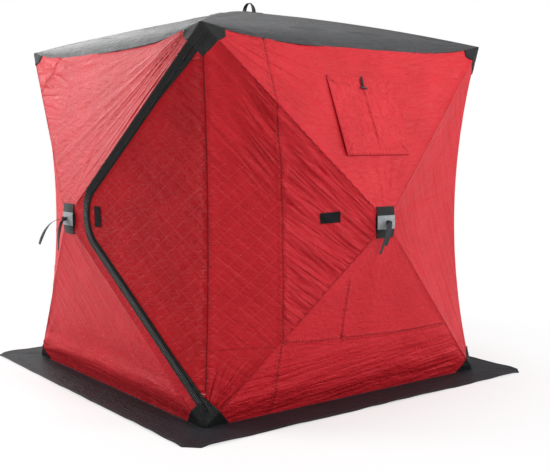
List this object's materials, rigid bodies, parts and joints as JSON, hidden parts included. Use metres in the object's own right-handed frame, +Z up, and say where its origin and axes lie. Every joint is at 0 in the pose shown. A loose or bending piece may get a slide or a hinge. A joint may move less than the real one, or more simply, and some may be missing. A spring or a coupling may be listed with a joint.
{
  "type": "pop-up ice fishing hut",
  "caption": "Square pop-up ice fishing shelter with pushed-out hub walls, a domed roof, a zipped wrap-round door, window flaps and a ground skirt.",
  "frame": {"origin": "on the ground, in the middle of the square base", "axes": "+Z up; the front wall with the door faces -Y, the right wall faces +X"},
  "size_m": [2.5248, 2.5248, 2.064],
  "materials": {
    "red_quilt": "coated polyester oxford, quilted over insulation, slightly glossy",
    "roof_cloth": "charcoal coated oxford cloth",
    "skirt_cloth": "dark coated ground skirt cloth",
    "black_webbing": "black woven polyester tape and reinforcement cloth",
    "hook_and_loop": "black hook-and-loop tape",
    "clear_sheet": "clear flexible sheet",
    "reflective_tape": "silver grey reflective tape",
    "strap_webbing": "dark grey woven webbing",
    "hub_plastic": "moulded black plastic",
    "pole_fibreglass": "pale fibreglass rod"
  },
  "bodies": {
    "shell": {"front_wall_top": "red_quilt", "front_wall_bottom": "red_quilt", "front_wall_left": "red_quilt", "front_jamb_upper": "red_quilt", "front_jamb_lower": "red_quilt", "wall_zip_tape": "black_webbing", "right_wall_top": "red_quilt", "right_wall_bottom": "red_quilt", "right_wall_left": "red_quilt", "right_wall_right": "red_quilt", "right_wall_tab": "hook_and_loop", "back_wall_top": "red_quilt", "back_wall_bottom": "red_quilt", "back_wall_left": "red_quilt", "back_wall_right": "red_quilt", "left_wall_top": "red_quilt", "left_wall_bottom": "red_quilt", "left_wall_left": "red_quilt", "left_wall_right": "red_quilt", "roof_front": "roof_cloth", "roof_right": "roof_cloth", "roof_back": "roof_cloth", "roof_left": "roof_cloth", "skirt_front": "skirt_cloth", "skirt_right": "skirt_cloth", "skirt_back": "skirt_cloth", "skirt_left": "skirt_cloth", "top_corner_patches": "black_webbing", "bottom_corner_patches": "black_webbing", "window_flaps": "red_quilt", "window_panes": "clear_sheet", "flap_toggles": "black_webbing", "hub_patches": "black_webbing", "reflective_bands": "reflective_tape", "pull_straps": "strap_webbing", "pole_hubs": "hub_plastic", "front_poles": "pole_fibreglass", "right_poles": "pole_fibreglass", "back_poles": "pole_fibreglass", "left_poles": "pole_fibreglass", "roof_poles": "pole_fibreglass", "corner_balls": "hub_plastic"},
    "door": {"door_panel": "red_quilt", "door_zip_tape": "black_webbing", "door_tab": "hook_and_loop"}
  },
  "joints": [
    {"name": "door_swing", "type": "hinge", "parent": "shell", "child": "door", "pos_m": [0.8782, -0.8782, 0.9], "axis": [0, 0, 1], "range_deg": [0, 210]}
  ]
}
